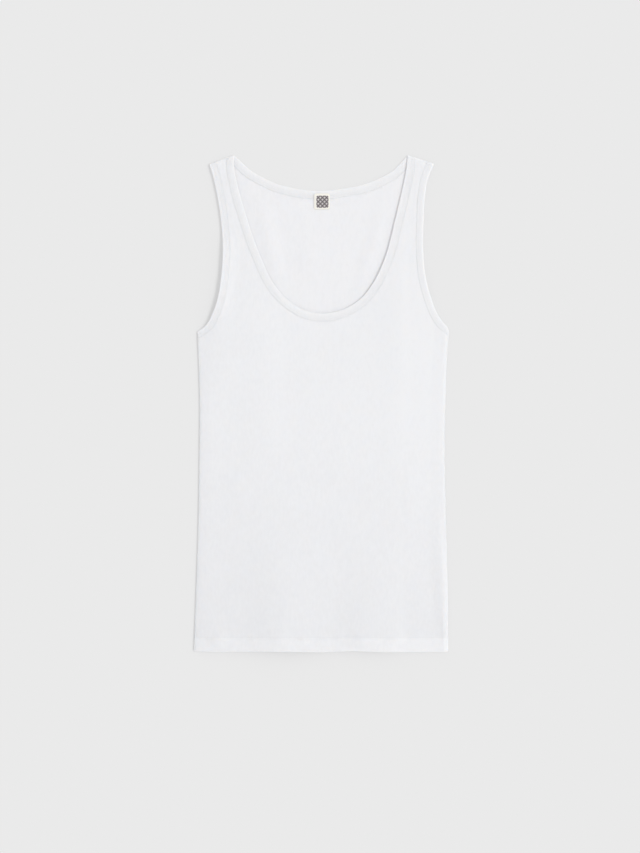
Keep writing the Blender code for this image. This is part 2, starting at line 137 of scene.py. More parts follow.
def lengths_along(points):
    """Length of a line from its start to each of its points."""
    return np.concatenate([[0.0], np.cumsum(np.linalg.norm(np.diff(points, axis=0), axis=1))])


def smooth_curve(points, steps=16):
    """Dense points on a smooth curve through the given ones."""
    knots = np.array(points, float)
    chord = lengths_along(knots)
    slopes = np.gradient(knots, chord, axis=0)
    t = np.arange(1, steps + 1)[:, None] / steps
    dense = [knots[:1]]
    for i in range(len(knots) - 1):
        span = chord[i + 1] - chord[i]
        dense.append((2 * t**3 - 3 * t**2 + 1) * knots[i] + (t**3 - 2 * t**2 + t) * span * slopes[i]
                     + (3 * t**2 - 2 * t**3) * knots[i + 1] + (t**3 - t**2) * span * slopes[i + 1])
    return np.concatenate(dense)


def outline(rows, side):
    """Plan points of an outline's rows on one side of the garment."""
    return [(side * (row.left if side == LEFT else row.right), row.height - LENGTH / 2) for row in rows]


class Edge:
    """A cut edge in plan, read by the distance along it, with the direction across its binding."""

    REACH = 0.002                   # its direction is taken over this length to each side
    START_TURN = (0.002, 0.022)     # the binding turns to lie along the folds between these distances
    END_TURN = (0.003, 0.026)       # from its start and from its end

    def __init__(self, points, turn, start_across, end_across):
        self.points, self.turn = points, turn
        self.start_across, self.end_across = start_across, end_across
        self.distances = lengths_along(points)
        self.length = self.distances[-1]

    def at(self, distance):
        plan = [np.interp(distance, self.distances, self.points[:, axis]) for axis in (0, 1)]
        return np.stack(plan, axis=-1)

    def across(self, distance):
        """Unit direction from the free edge into the cloth, turned to lie along the folds at both ends."""
        distance = np.asarray(distance, float)
        ahead = self.at(np.minimum(distance + self.REACH, self.length))
        along = ahead - self.at(np.maximum(distance - self.REACH, 0.0))
        square = unit(np.stack([-along[..., 1], along[..., 0]], axis=-1) * self.turn)
        start = 1 - ramp(*self.START_TURN, distance)[..., None]
        end = 1 - ramp(*self.END_TURN, self.length - distance)[..., None]
        return unit(square * (1 - start) * (1 - end) + self.start_across * start + self.end_across * end)

    def inset(self, distance, depth):
        """The point that lies a depth in from the free edge."""
        return self.at(distance) + self.across(distance) * np.asarray(depth)[..., None]

    def line(self, depth, count=160):
        return self.inset(np.linspace(0.0, self.length, count), depth)


SIDES = {side: smooth_curve(outline(SIDE_EDGES, side)) for side in (LEFT, RIGHT)}
# outer and inner end of each shoulder fold
SHOULDERS = {side: [np.array(outline(rows[-1:], side)[0]) for rows in (ARMHOLE_EDGES, FRONT_NECK_EDGE)]
             for side in (LEFT, RIGHT)}


def armhole_edge(side, shift):
    """An armhole, from the underarm up to the shoulder. shift moves its middle into the cloth."""
    points = smooth_curve(outline(ARMHOLE_EDGES, side))
    outer, inner = SHOULDERS[side]
    binding_end = ARMHOLE_EDGES[0].height - ARM_BINDING - LENGTH / 2
    side_x = np.interp(binding_end, SIDES[side][:, 1], SIDES[side][:, 0])
    down = unit(np.array([side_x, binding_end]) - points[0])
    edge = Edge(points, side, down, unit(inner - outer))
    bow = np.sin(np.pi * edge.distances / edge.length) * shift
    return Edge(edge.inset(edge.distances, bow), side, down, unit(inner - outer))


def neck_edge(rows, side):
    """Half a neckline, from its lowest point up to the shoulder."""
    whole = smooth_curve(outline(rows, LEFT)[:0:-1] + outline(rows, RIGHT))
    middle = len(whole) // 2
    points = whole[middle::-1] if side == LEFT else whole[middle:]
    outer, inner = SHOULDERS[side]
    return Edge(points, -side, np.array([0.0, -1.0]), unit(outer - inner))


ARMS = {FRONT: {side: armhole_edge(side, 0.0) for side in (LEFT, RIGHT)},
        BACK: {side: armhole_edge(side, ARM_BACK_SHIFT) for side in (LEFT, RIGHT)}}
NECKS = {FRONT: {side: neck_edge(FRONT_NECK_EDGE, side) for side in (LEFT, RIGHT)},
         BACK: {side: neck_edge(BACK_NECK_EDGE, side) for side in (LEFT, RIGHT)}}


def nearest(line, x, y):
    """Distance from each point to a line of plan points, and the nearest place on it."""
    starts, spans = line[:-1], np.diff(line, axis=0)
    points = np.stack([np.ravel(x), np.ravel(y)], axis=-1)
    places = np.empty_like(points)
    batch = 4096
    for first in range(0, len(points), batch):
        part = points[first:first + batch, None]
        share = ((part - starts) * spans).sum(-1) / np.maximum((spans**2).sum(-1), 1e-12)
        near = starts + np.clip(share, 0.0, 1.0)[..., None] * spans
        best = ((part - near) ** 2).sum(-1).argmin(1)
        places[first:first + batch] = near[np.arange(len(best)), best]
    return np.linalg.norm(points - places, axis=1).reshape(np.shape(x)), places


def by_side(x, values):
    """The value for the side of the garment that each point lies on."""
    return np.where(x < 0, values[LEFT], values[RIGHT])


def clear_of(edges, x, y):
    """Distance of each point from the edge on its own side of the garment."""
    return by_side(x, {side: nearest(edge.points, x, y)[0] for side, edge in edges.items()})


def fold_lift(x, y, folds):
    """How far the folds lift the cloth."""
    lift = np.zeros(np.shape(x))
    for fold in folds:
        top = np.array([fold.x_top, fold.height_top - LENGTH / 2])
        line = np.array([fold.x_foot, fold.height_foot - LENGTH / 2]) - top
        share = ((x - top[0]) * line[0] + (y - top[1]) * line[1]) / (line @ line)
        right = ((y - top[1]) * line[0] - (x - top[0]) * line[1]) / np.linalg.norm(line)
        off = np.minimum(np.where(right < 0, -right / fold.left_reach, right / fold.right_reach), 1.0)
        ends = ramp(0.0, FOLD_END, share) * ramp(0.0, FOLD_END, 1 - share)
        lift += fold.lift * np.cos(np.pi / 2 * off) ** 2 * ends
    return lift


def half_width(lines, x, y):
    """How far a line lies from the centre line, on the side of each point."""
    return by_side(x, {side: np.interp(y, line[:, 1], np.abs(line[:, 0])) for side, line in lines.items()})


def side_reach(x, y):
    return half_width(SIDES, x, y)


def from_shoulder(x, y):
    """Distance of each point from the shoulder fold on its own side."""
    away = {}
    for side, (outer, inner) in SHOULDERS.items():
        along = unit(inner - outer)
        away[side] = np.abs(along[0] * (y - outer[1]) - along[1] * (x - outer[0]))
    return by_side(x, away)


def fold_middle(y):
    """Height of the seam in the nearest fold: low down the sides, higher at the hem and the bindings."""
    height = y + LENGTH / 2
    thick = np.maximum(ramp(*UNDERARM_RISE, height), 1 - ramp(*HEM_FALL, height))
    return THIN_FOLD + (THICK_FOLD - THIN_FOLD) * thick


def turns(x, y, layer):
    """How far a point has turned into the side fold and the shoulder fold: 0 on the flat, 1 at the seam."""
    height = y + LENGTH / 2
    at_hem, at_underarm = 1 - ramp(*HEM_TURN_END, height), ramp(*UNDERARM_TURN_START, height)
    widths = [turn.side + (turn.hem - turn.side) * at_hem + (turn.underarm - turn.side) * at_underarm
              for turn in SIDE_TURNS[layer]]
    width = np.where(x < 0, *widths)
    from_side = np.maximum(side_reach(x, y) - np.abs(x), 0.0)
    return 1 - np.minimum(from_side / width, 1.0), 1 - np.minimum(from_shoulder(x, y) / SHOULDER_TURN, 1.0)


def back_level(x, y, thickness):
    """Outer face of the back layer: on the table, with a few soft folds that show inside the scoop."""
    scoop = {side: edge.points for side, edge in NECKS[FRONT].items()}
    inside = (np.abs(x) < half_width(scoop, x, y)) & (y > scoop[LEFT][0, 1])
    clear = clear_of(NECKS[FRONT], x, y)
    at_edge = 0.35                  # a fold has this share of its height at the front's edge
    reach = 0.020                   # and from there dies out under it, or grows to its full height
    free = np.where(inside, at_edge + (1 - at_edge) * ramp(0.002, reach, clear),
                    at_edge * (1 - ramp(0.0, reach, clear)))
    below_neck = ramp(0.004, reach, clear_of(NECKS[BACK], x, y))
    return RIB_HEIGHT + fold_lift(x, y, BACK_FOLDS) * free * below_neck


LEVELS = {BACK: back_level}


def face(x, y, thickness, layer):
    """Height of the outer face of a layer."""
    level, middle = LEVELS[layer](x, y, thickness), fold_middle(y)
    return middle + (level - middle) * np.sqrt(1 - np.maximum(*turns(x, y, layer)) ** FOLD_ROUND)


def wall(x, y, z, thickness, layer):
    """The points behind those of an outer face: straight in, but level where the cloth turns into a fold."""
    at_side, at_shoulder = turns(x, y, layer)
    turned = np.maximum(at_side, at_shoulder)
    into = np.stack([-np.sign(x), np.zeros(np.shape(x))], axis=-1)
    for side, (outer, inner) in SHOULDERS.items():
        along = unit(inner - outer)
        into[(np.sign(x) == side) & (at_shoulder > at_side)] = side * np.array([-along[1], along[0]])
    drop = -layer * thickness * np.sqrt(1 - turned**2)
    plan = np.stack([x, y], axis=-1) + into * (thickness * turned)[..., None]
    return np.concatenate([plan, (z + drop)[..., None]], axis=-1)


def cut_line(layer):
    """The cut edge of a panel as a closed outline, run on past the folds and the hem that the rows end on."""
    past = 0.006
    low = -LENGTH / 2 - past
    points = []
    for side in (LEFT, RIGHT):
        outer, inner = SHOULDERS[side]
        above = unit(np.array([inner[1] - outer[1], -(inner[0] - outer[0])]))
        above = above * past * np.sign(above[1])
        arm = ARMS[layer][side].line(ARM_BINDING - UNDER_BINDING)
        neck = NECKS[layer][side].line(NECK_BINDING - UNDER_BINDING)
        beside = arm[0] + [side * past, 0.0]
        half = [[beside[0], low], beside, *arm, arm[-1] + above, neck[-1] + above, *neck[::-1]]
        points += half if side == LEFT else half[::-1]
    return np.array(points)


def inside_of(polygon, x, y):
    """Whether each point lies inside a closed outline."""
    within = np.zeros(np.shape(x), bool)
    for (x0, y0), (x1, y1) in zip(polygon, np.roll(polygon, -1, axis=0)):
        if y0 != y1:
            within ^= ((y0 > y) != (y1 > y)) & (x < (x1 - x0) * (y - y0) / (y1 - y0) + x0)
    return within


def panel_rows(step):
    """Heights of the rows of points: close together in the hem, its stitching and the shoulder fold."""
    hem = [0.0, 0.0003, 0.0010, 0.0022, 0.0055, 0.0095, 0.0130, 0.0155,
           0.0166, 0.0173, 0.0178, 0.0183, 0.0190, 0.0202]
    turned = [0.0050, 0.0034, 0.0022, 0.0013, 0.0006, 0.00015, 0.0]
    count = round((LENGTH - turned[0] - hem[-1]) / step)
    return np.array(hem + list(np.linspace(hem[-1], LENGTH - turned[0], count + 1)[1:]) +
                    [LENGTH - away for away in turned[1:]])


HEM_WAVE_X = [-0.168, -0.139, -0.100, -0.067, -0.002, 0.044, 0.083, 0.160]
HEM_WAVE = [0.0002, -0.0007, -0.0001, 0.0001, -0.0009, 0.0006, -0.0008, -0.0007]
HEM_CORNER = {LEFT: 0.0018, RIGHT: 0.0034}
HEM_STITCHES = 0.0178               # height of the row of stitches
HEM_GROOVE = 0.00016                # they pull the outer face in this far
HEM_GROOVE_REACH = 0.00075


def hem_edge(x, height):
    """How far the hem line lies above or below a straight line: a slow wave, and rounded corners."""
    wave = np.interp(x, HEM_WAVE_X, HEM_WAVE)
    reach = side_reach(x, np.full(np.shape(x), -LENGTH / 2))
    radius = by_side(x, HEM_CORNER)
    corner = np.clip((np.abs(x) - (reach - radius)) / radius, 0.0, 1.0)
    return (wave * (1 - ramp(0.0, 0.150, height)) +
            radius * (1 - np.sqrt(1 - corner**2)) * np.maximum(1 - height / HEM, 0.0))


def hem_groove(height):
    return HEM_GROOVE * np.exp(-((height - HEM_STITCHES) / HEM_GROOVE_REACH) ** 2)


RIB_WANDER = 0.0006                 # a rib strays this far from straight
SLOPE_START = 0.500                 # from here up the courses lean towards the slope of the shoulders
HEM_ROUND = 0.0012                  # the edge of the hem is rounded over this height
HEM_THIN = 0.30                     # and loses this share of its thickness on each face
TURN_UP_EDGE = 0.0016               # the cloth thins to one layer over this height above the hem
HEM_SIDES = (0.0008, 0.0060)        # and between these distances from the side folds
FLATTENED = 0.6                     # share of a rib's height lost under the hem's stitches and at its edge
PRESSED = 0.0002                    # a cut edge is pressed this far into its binding


def knit_panel(name, layer, row_step, shown_inside, relief=None):
    """A panel of rib knit: a grid that follows the ribs, trimmed to the cut line, with two faces.

    shown_inside says in which part the inner face is seen, and so has every rib. relief lifts the cloth.
    """
    rows = panel_rows(row_step)
    ribs = round(2 * max(SIDES[RIGHT][-1, 0], -SIDES[LEFT][-1, 0]) / RIB)
    across = np.linspace(-1.0, 1.0, ribs + 1)[None, :]
    height = rows[:, None] + 0 * across
    x = across * side_reach(across + 0 * height, height - LENGTH / 2)
    wander = RIB_WANDER * np.sin(11 * height + 4.0 * across) * np.cos(2.3 * across + 1) * (1 - across**2)
    x = x + wander * ramp(0.0, 0.100, height)
    folds = np.array([*SHOULDERS[LEFT], *SHOULDERS[RIGHT][::-1]])
    shoulder = np.interp(x[-1], folds[:, 0], folds[:, 1])
    y = height + (shoulder - LENGTH / 2)[None, :] * ramp(SLOPE_START, LENGTH, height) - LENGTH / 2
    y = y + hem_edge(x, height)

    cut = cut_line(layer)
    within = inside_of(cut, x, y)
    kept = within[:-1, :-1] | within[:-1, 1:] | within[1:, 1:] | within[1:, :-1]
    used = np.zeros(x.shape, bool)
    for dr, dc in ((0, 0), (0, 1), (1, 1), (1, 0)):
        used[dr:dr + kept.shape[0], dc:dc + kept.shape[1]] |= kept
    moved = used & ~within
    _, places = nearest(np.concatenate([cut, cut[:1]]), x[moved], y[moved])
    x[moved], y[moved] = places[:, 0], places[:, 1]
    pressed = moved.astype(float)

    # points between the corners, drawn towards the seam in the two ribs that turn into the side folds
    share = np.tile(np.arange(RIB_STEPS) / RIB_STEPS, (ribs, 1))
    share[0] = [0.0, 0.08, 0.40]
    share[-1] = [0.0, 0.60, 0.92]
    number = np.append((np.arange(ribs)[:, None] + share).ravel(), ribs)
    whole = np.minimum(number.astype(int), ribs - 1)
    part = number - whole
    x, y, pressed = (grid[:, whole] * (1 - part) + grid[:, whole + 1] * part for grid in (x, y, pressed))
    height = height[:, :1] + 0 * x

    doubled = 1 - ramp(HEM, HEM + TURN_UP_EDGE, height)
    doubled = doubled * ramp(*HEM_SIDES, side_reach(x, y) - np.abs(x))
    thickness = CLOTH + (DOUBLED - CLOTH) * doubled
    edge = np.clip(1 - height / HEM_ROUND, 0.0, 1.0)
    thin = HEM_THIN * thickness * (1 - np.sqrt(1 - edge**2))
    sunk = thin + hem_groove(height) + PRESSED * pressed
    if relief:
        sunk -= relief(x, y)
    z = np.maximum(face(x, y, thickness, layer) - layer * sunk, RIB_HEIGHT)
    outer = np.stack([x, y, z], axis=-1)
    inner = wall(x, y, z, thickness - 2 * thin, layer)
    points = np.concatenate([outer.reshape(-1, 3), inner.reshape(-1, 3)])

    line_points = len(number)
    fine = {0: np.ones(kept.shape, bool)}
    centre = (slice(None, -1), slice(1, None, RIB_STEPS))
    fine[1] = shown_inside(x[centre], y[centre])
    on_line = {}
    for side_of_cloth, mask in fine.items():
        flags = np.zeros((len(rows), ribs), bool)
        flags[:-1] |= mask & kept
        flags[1:] |= mask & kept
        on_line[side_of_cloth] = flags

    def run(side_of_cloth, r, c):
        """Points along the top or bottom of a cell, from left to right."""
        first = side_of_cloth * len(rows) * line_points + r * line_points + c * RIB_STEPS
        step = 1 if on_line[side_of_cloth][r, c] else RIB_STEPS
        return list(range(first, first + RIB_STEPS + 1, step))

    faces = []
    for r, c in np.argwhere(kept):
        for side_of_cloth in (0, 1):
            low, high = run(side_of_cloth, r, c), run(side_of_cloth, r + 1, c)
            if fine[side_of_cloth][r, c]:
                made = [[low[i], low[i + 1], high[i + 1], high[i]] for i in range(RIB_STEPS)]
            else:
                made = [low + high[::-1]]
            faces += [cell[::-1] for cell in made] if side_of_cloth else made
        (low, under), (high, over) = ((run(0, row, c), run(1, row, c)) for row in (r, r + 1))
        if r == 0 or not kept[r - 1, c]:
            faces.append(low[::-1] + under)
        if r + 1 == len(kept) or not kept[r + 1, c]:
            faces.append(high + over[::-1])
        if c == 0 or not kept[r, c - 1]:
            faces.append([low[0], high[0], over[0], under[0]])
        if c + 1 == ribs or not kept[r, c + 1]:
            faces.append([high[-1], low[-1], under[-1], over[-1]])
    if layer == BACK:
        faces = [cell[::-1] for cell in faces]

    raised = (1 - FLATTENED * hem_groove(height) / HEM_GROOVE) * (1 - FLATTENED * edge) * (1 - pressed)
    fields = {"wale": number[None, :] + 0 * x, "course": height / COURSE, "raise": raised}
    return cloth_mesh(name, points, faces, {key: np.tile(value.ravel(), 2) for key, value in fields.items()})


def linked(name, data):
    """A new object of the scene, at the origin."""
    piece = bpy.data.objects.new(name, data)
    bpy.context.scene.collection.objects.link(piece)
    return piece


def cloth_mesh(name, points, faces, fields):
    """A closed piece of cloth from its points and faces, with numbers stored on its points for the knit."""
    used, order = np.unique(np.concatenate([np.array(cell) for cell in faces]), return_inverse=True)
    ends = np.cumsum([len(cell) for cell in faces])
    mesh = bpy.data.meshes.new(name)
    mesh.from_pydata(points[used], [], [part.tolist() for part in np.split(order, ends[:-1])])
    for key, values in fields.items():
        mesh.attributes.new(key, "FLOAT", "POINT").data.foreach_set("value", values[used].astype(np.float32))
    bm = bmesh.new()
    bm.from_mesh(mesh)
    bmesh.ops.remove_doubles(bm, verts=bm.verts, dist=0.00002)
    bm.to_mesh(mesh)
    bm.free()
    mesh.shade_smooth()
    return linked(name, mesh)


class Wire:
    """A socket's value in a node tree. Arithmetic on it adds Math nodes to the tree."""

    def __init__(self, nodes, socket):
        self.nodes, self.socket = nodes, socket

    def math(self, operation, *others):
        return self.nodes.math(operation, self, *others)

    def clamped(self):
        """Kept between 0 and 1."""
        return self.math("MAXIMUM", 0.0).math("MINIMUM", 1.0)

    def output(self, number):
        """Another output of the same node."""
        return Wire(self.nodes, self.socket.node.outputs[number])

    def __add__(self, other):
        return self.math("ADD", other)

    def __mul__(self, other):
        return self.math("MULTIPLY", other)

    def __sub__(self, other):
        return self.math("SUBTRACT", other)

    def __rsub__(self, other):
        return self.nodes.math("SUBTRACT", other, self)

    def __pow__(self, other):
        return self.math("POWER", other)

    def __abs__(self):
        return self.math("ABSOLUTE")

    __radd__, __rmul__ = __add__, __mul__


class Nodes:
    """Adds nodes to a tree: their type, their settings, then the values or wires of their sockets."""

    def __init__(self, tree):
        self.tree = tree

    def feed(self, node, sockets):
        for key, value in sockets.items():
            if isinstance(value, Wire):
                self.tree.links.new(value.socket, node.inputs[key])
            else:
                node.inputs[key].default_value = value

    def add(self, kind, settings=None, sockets=None, output=0):
        node = self.tree.nodes.new(kind)
        for key, value in (settings or {}).items():
            setattr(node, key, value)
        self.feed(node, sockets or {})
        return Wire(self, node.outputs[output]) if len(node.outputs) else node

    def math(self, operation, *values):
        return self.add("ShaderNodeMath", {"operation": operation}, dict(enumerate(values)))

    def stored(self, name, kind="FLOAT"):
        """A value stored on the points of a piece."""
        return self.add("GeometryNodeInputNamedAttribute", {"data_type": kind}, {"Name": name})

    def place(self):
        """Where a point lies, in metres."""
        return self.add("ShaderNodeTexCoord", None, None, "Object")

    def noise(self, place, scale, detail=2.0):
        return self.add("ShaderNodeTexNoise", None, {"Vector": place, "Scale": scale, "Detail": detail})

    def bump(self, strength, distance, height):
        sockets = {"Strength": strength, "Distance": distance, "Height": height}
        return self.add("ShaderNodeBump", None, sockets, "Normal")

    def mix(self, share, *colours):
        """A colour between two others, each a wire or its red, green and blue."""
        first, second = (colour if isinstance(colour, Wire) else (*colour, 1.0) for colour in colours)
        return self.add("ShaderNodeMix", {"data_type": "RGBA"}, {0: share, 6: first, 7: second}, 2)


SOCKET_KINDS = {float: "NodeSocketFloat", int: "NodeSocketInt", type(None): "NodeSocketMaterial"}


def geometry_tree(name, inputs):
    """An empty Geometry Nodes tree with named inputs and their values. None stands for a material."""
    tree = bpy.data.node_groups.new(name, "GeometryNodeTree")
    tree.interface.new_socket("Geometry", in_out="OUTPUT", socket_type="NodeSocketGeometry")
    tree.interface.new_socket("Geometry", in_out="INPUT", socket_type="NodeSocketGeometry")
    for label, value in inputs.items():
        socket = tree.interface.new_socket(label, in_out="INPUT", socket_type=SOCKET_KINDS[type(value)])
        if value is not None:
            socket.default_value = value
    nodes = Nodes(tree)
    given = tree.nodes.new("NodeGroupInput")
    return tree, nodes, {socket.name: Wire(nodes, socket) for socket in given.outputs if socket.name}


def end_tree(nodes, geometry, material):
    """Real meshes in one material, out of the tree."""
    real = nodes.add("GeometryNodeRealizeInstances", None, {"Geometry": geometry})
    painted = nodes.add("GeometryNodeSetMaterial", None, {"Geometry": real, "Material": material})
    nodes.add("NodeGroupOutput", None, {"Geometry": painted})


def applied(piece, tree, inputs):
    """The piece with the tree's result as its plain mesh."""
    modifier = piece.modifiers.new(tree.name, "NODES")
    modifier.node_group = tree
    for socket in tree.interface.items_tree:
        if socket.in_out == "INPUT" and socket.name in inputs:
            modifier[socket.identifier] = inputs[socket.name]
    bpy.context.view_layer.update()
    evaluated = piece.evaluated_get(bpy.context.evaluated_depsgraph_get())
    mesh = bpy.data.meshes.new_from_object(evaluated)
    piece.modifiers.remove(modifier)
    piece.data = mesh
    mesh.name = piece.name
    return piece


def rib_tree():
    """Raises the ribs of the knit square to the cloth: round crests, narrow valleys, no two quite alike."""
    tree, nodes, given = geometry_tree("raised ribs", {
        "Height": RIB_HEIGHT, "Unevenness": 0.25, "Seed": 3, "Cloth": None})
    wale = nodes.stored("wale")
    crest = (wale.math("FRACT") * np.pi).math("SINE").math("MAXIMUM", 0.0) ** 0.55
    place = nodes.add("GeometryNodeInputPosition")
    stretched = nodes.add("ShaderNodeVectorMath", {"operation": "MULTIPLY"}, {
        0: place, 1: (260.0, 24.0, 60.0)})
    noise = nodes.add("ShaderNodeTexNoise", {"noise_dimensions": "4D"}, {
        "Vector": stretched, "W": given["Seed"] * 1.7, "Scale": 1.0, "Detail": 1.0})
    uneven = 1 + given["Unevenness"] * (noise - 0.5) * 2
    amount = crest * nodes.stored("raise") * given["Height"] * uneven
    out = nodes.add("ShaderNodeVectorMath", {"operation": "SCALE"}, {
        0: nodes.add("GeometryNodeInputNormal"), "Scale": amount})
    raised = nodes.add("GeometryNodeSetPosition", None, {"Geometry": given["Geometry"], "Offset": out})
    end_tree(nodes, raised, given["Cloth"])
    return tree


def shader(name, roughness, specular, through=0.0):
    """A new material, the adder of its nodes, and its Principled shader with the values that don't vary."""
    material = bpy.data.materials.new(name)
    material.use_nodes = True
    nodes = Nodes(material.node_tree)
    principled = material.node_tree.nodes["Principled BSDF"]
    nodes.feed(principled, {
        "Roughness": roughness, "Specular IOR Level": specular, "Subsurface Weight": through,
        "Subsurface Radius": (1.0, 0.95, 0.9), "Subsurface Scale": 0.0008})
    return material, nodes, principled


def knit_material(name, colour, shade):
    """Bleached cotton rib: chains of V stitches up each rib, fibre fuzz, a white that varies a little, and
    painted light and shade.
    """
    material, nodes, principled = shader(name, 0.9, 0.15, 1.0)
    wale = nodes.add("ShaderNodeAttribute", {"attribute_name": "wale"}, None, "Fac")
    course = nodes.add("ShaderNodeAttribute", {"attribute_name": "course"}, None, "Fac")
    place = nodes.place()
    off_centre = abs(wale.math("FRACT") - 0.5) * 2
    chain = ((course + off_centre * 0.55).math("FRACT") * np.pi).math("SINE")
    fuzz = nodes.noise(place, 2600.0)
    bump = nodes.bump(0.5, 0.00009, chain * (1 - off_centre ** 3) + fuzz * 0.5)

    # it greys at random in flecks and clouds; it is darker between the ribs, painted shade, and lighter
    # towards the right, up to the chest and in the hem, painted light from the lamp on the right
    drawn = nodes.add("ShaderNodeMapping", None, {"Vector": place, "Scale": (1.0, 0.4, 1.0)})
    flecks = nodes.noise(drawn, 300.0, 1.0)
    clouds = nodes.noise(place, 22.0, 3.0)
    x = nodes.add("ShaderNodeSeparateXYZ", None, {0: place})
    y = x.output(1)
    painted_light_hem_mask = ((HEM - LENGTH / 2 - y) * 2000.0).clamped()
    # painted light: lighter towards the lamp on the right, and up the body to the chest
    painted_light = x * 0.6 + (y.math("MINIMUM", -0.025) + 0.175) * 1.5
    # painted light: the hem band lighter still, more so towards the right
    painted_light = painted_light + painted_light_hem_mask * (0.25 + x.math("MAXIMUM", 0.0) * 1.2)
    # painted shade: darker in the valleys between the ribs
    valley = off_centre ** 4
    tone_and_painted_light = 0.29 + (flecks - 0.5) * 0.6 + (clouds - 0.5) * 0.2 + valley * 0.07 - painted_light
    nodes.feed(principled, {
        "Base Color": nodes.mix(tone_and_painted_light, colour, shade), "Normal": bump, "Roughness": 0.86 + fuzz * 0.1})
    return material


RIBS = rib_tree()
COTTON = knit_material("bleached rib cotton", (0.870, 0.873, 0.890), (0.790, 0.793, 0.810))
# painted shade: a darker copy of the cotton for the back, which shows only down in the scoop
SHADED_BACK_COTTON = knit_material("rib cotton of the back, darkened for painted shade", (0.860, 0.862, 0.879), (0.780, 0.782, 0.799))
# the part of the back whose inner face is seen, and a strip under the front's edge
SCOOP = np.concatenate([NECKS[FRONT][LEFT].line(0.020)[::-1], NECKS[FRONT][RIGHT].line(0.020)])
back_panel = knit_panel("back_panel_cloth", BACK, BACK_ROW, lambda x, y: inside_of(SCOOP, x, y))
applied(back_panel, RIBS, {"Height": RIB_HEIGHT, "Seed": 3, "Cloth": SHADED_BACK_COTTON})
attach(back_panel, "root")
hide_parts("back_panel")

# ------------------------ front panel
# The front, of the same rib, with the deep scoop. It lies right side up on the back panel, joined to it down
# the sides and over the shoulders, where the cloth rolls round the seam. It lifts a little at chest and hem.
FRONT_ROW = 0.0062
FRONT_REST = 0.0027                 # middle of the front layer where it lies lowest
ON_BINDING = 0.0031                 # the same over the bindings of the back
ON_HEM = 0.0029
NEAR_ARMHOLE = (0.040, 0.150)       # it comes down from them to its rest over these distances
NEAR_SHOULDER = (0.028, 0.120)
NEAR_HEM = (0.060, 0.200)
SWELL = 0.0026                      # the loose body stands up this much between its sides
SWELL_KNEE = {LEFT: 0.074, RIGHT: 0.096}    # from here outwards it slopes down towards the side
SWELL_FOOT = {LEFT: 0.000, RIGHT: 0.018}    # and lies flat over this width along the side
SWELL_BEND = 0.014                  # how soft the bend at the knee is
SWELL_START = (0.050, 0.300)        # it grows to its full height over these heights
SWELL_END = (0.400, 0.540)          # and dies out over these
SWELL_AT_HEM = 0.35                 # its share at the hem
SWELL_AT_NECK = 0.25                # and at the edge of the scoop
SWELL_NECK_REACH = 0.060            # where it grows over this distance
HEM_VALLEY = 0.0004                 # the hem's stitching pulls the cloth down this much
VALLEY_REACH = (0.013, 0.016)       # down and up from it
FRONT_FOLDS = [Fold(*row) for row in [
    (-0.073, 0.500, -0.067, 0.200, 0.045, 0.028, 0.0011),
    (0.102, 0.640, 0.101, 0.130, 0.030, 0.016, 0.0006),
    (-0.125, 0.470, -0.128, 0.320, 0.034, 0.070, 0.0019),
    (0.118, 0.500, 0.118, 0.320, 0.060, 0.042, 0.0006),
    (-0.131, 0.560, -0.149, 0.420, 0.020, 0.032, 0.0039),
    (0.087, 0.650, 0.062, 0.440, 0.020, 0.022, 0.0010),
    (-0.053, 0.170, -0.052, -0.130, 0.054, 0.066, 0.0028),
    (-0.053, 0.240, -0.052, -0.150, 0.115, 0.110, 0.0018),
    (0.060, 0.140, 0.057, -0.110, 0.046, 0.060, 0.0022),
    (0.150, 0.210, 0.170, -0.060, 0.016, 0.010, 0.0013),
    (0.090, 0.190, 0.088, -0.060, 0.060, 0.026, 0.0008),
    (0.113, 0.290, 0.116, 0.140, 0.009, 0.020, 0.0004),
]]

# soft ridges that the hem's stitching gathers
Pucker = namedtuple("Pucker", "x reach lift")
HEM_PUCKERS = [Pucker(*row) for row in [
    (-0.1360, 0.0120, 0.00270), (-0.1100, 0.0050, 0.00024), (-0.0885, 0.0042, 0.00062),
    (-0.0550, 0.0110, 0.00150), (-0.0225, 0.0060, 0.00096), (0.0035, 0.0060, 0.00080),
    (0.0225, 0.0042, 0.00026), (0.0525, 0.0100, 0.00150), (0.0740, 0.0040, 0.00022),
    (0.0990, 0.0100, 0.00135), (0.1270, 0.0060, 0.00034), (0.1500, 0.0050, 0.00034),
]]
PUCKER_TOP = 0.0145                 # the height at which they stand up most
PUCKER_REACH = (0.0055, 0.0100)     # they die out over this length down and up


def front_level(x, y, thickness):
    """Outer face of the front layer away from its folds."""
    height = y + LENGTH / 2
    full = ON_BINDING - FRONT_REST
    on_arm = 1 - ramp(*NEAR_ARMHOLE, clear_of(ARMS[FRONT], x, y))
    on_shoulder = 1 - ramp(*NEAR_SHOULDER, from_shoulder(x, y))
    on_hem = (ON_HEM - FRONT_REST) / full * (1 - ramp(*NEAR_HEM, height))
    flat = (1 - on_arm) * (1 - on_shoulder) * (1 - on_hem)

    knee = by_side(x, SWELL_KNEE)
    past = np.abs(x) - knee
    foot = side_reach(x, y) - by_side(x, SWELL_FOOT)
    fall = (past + np.hypot(past, SWELL_BEND)) / 2 / (foot - knee)
    along = SWELL_AT_HEM + (1 - SWELL_AT_HEM) * ramp(*SWELL_START, height)
    along = along * (1 - ramp(*SWELL_END, height))
    off_neck = ramp(0.0, SWELL_NECK_REACH, clear_of(NECKS[FRONT], x, y))
    loose = SWELL_AT_NECK + (1 - SWELL_AT_NECK) * off_neck
    swell = SWELL * np.maximum(1 - fall, 0.0) * along * loose

    below = np.maximum(HEM - height, 0.0) / VALLEY_REACH[0]
    above = np.maximum(height - HEM, 0.0) / VALLEY_REACH[1]
    valley = HEM_VALLEY * np.exp(-below**2 - above**2)
    return FRONT_REST + full * (1 - flat) + swell - valley + fold_lift(x, y, FRONT_FOLDS) + thickness / 2


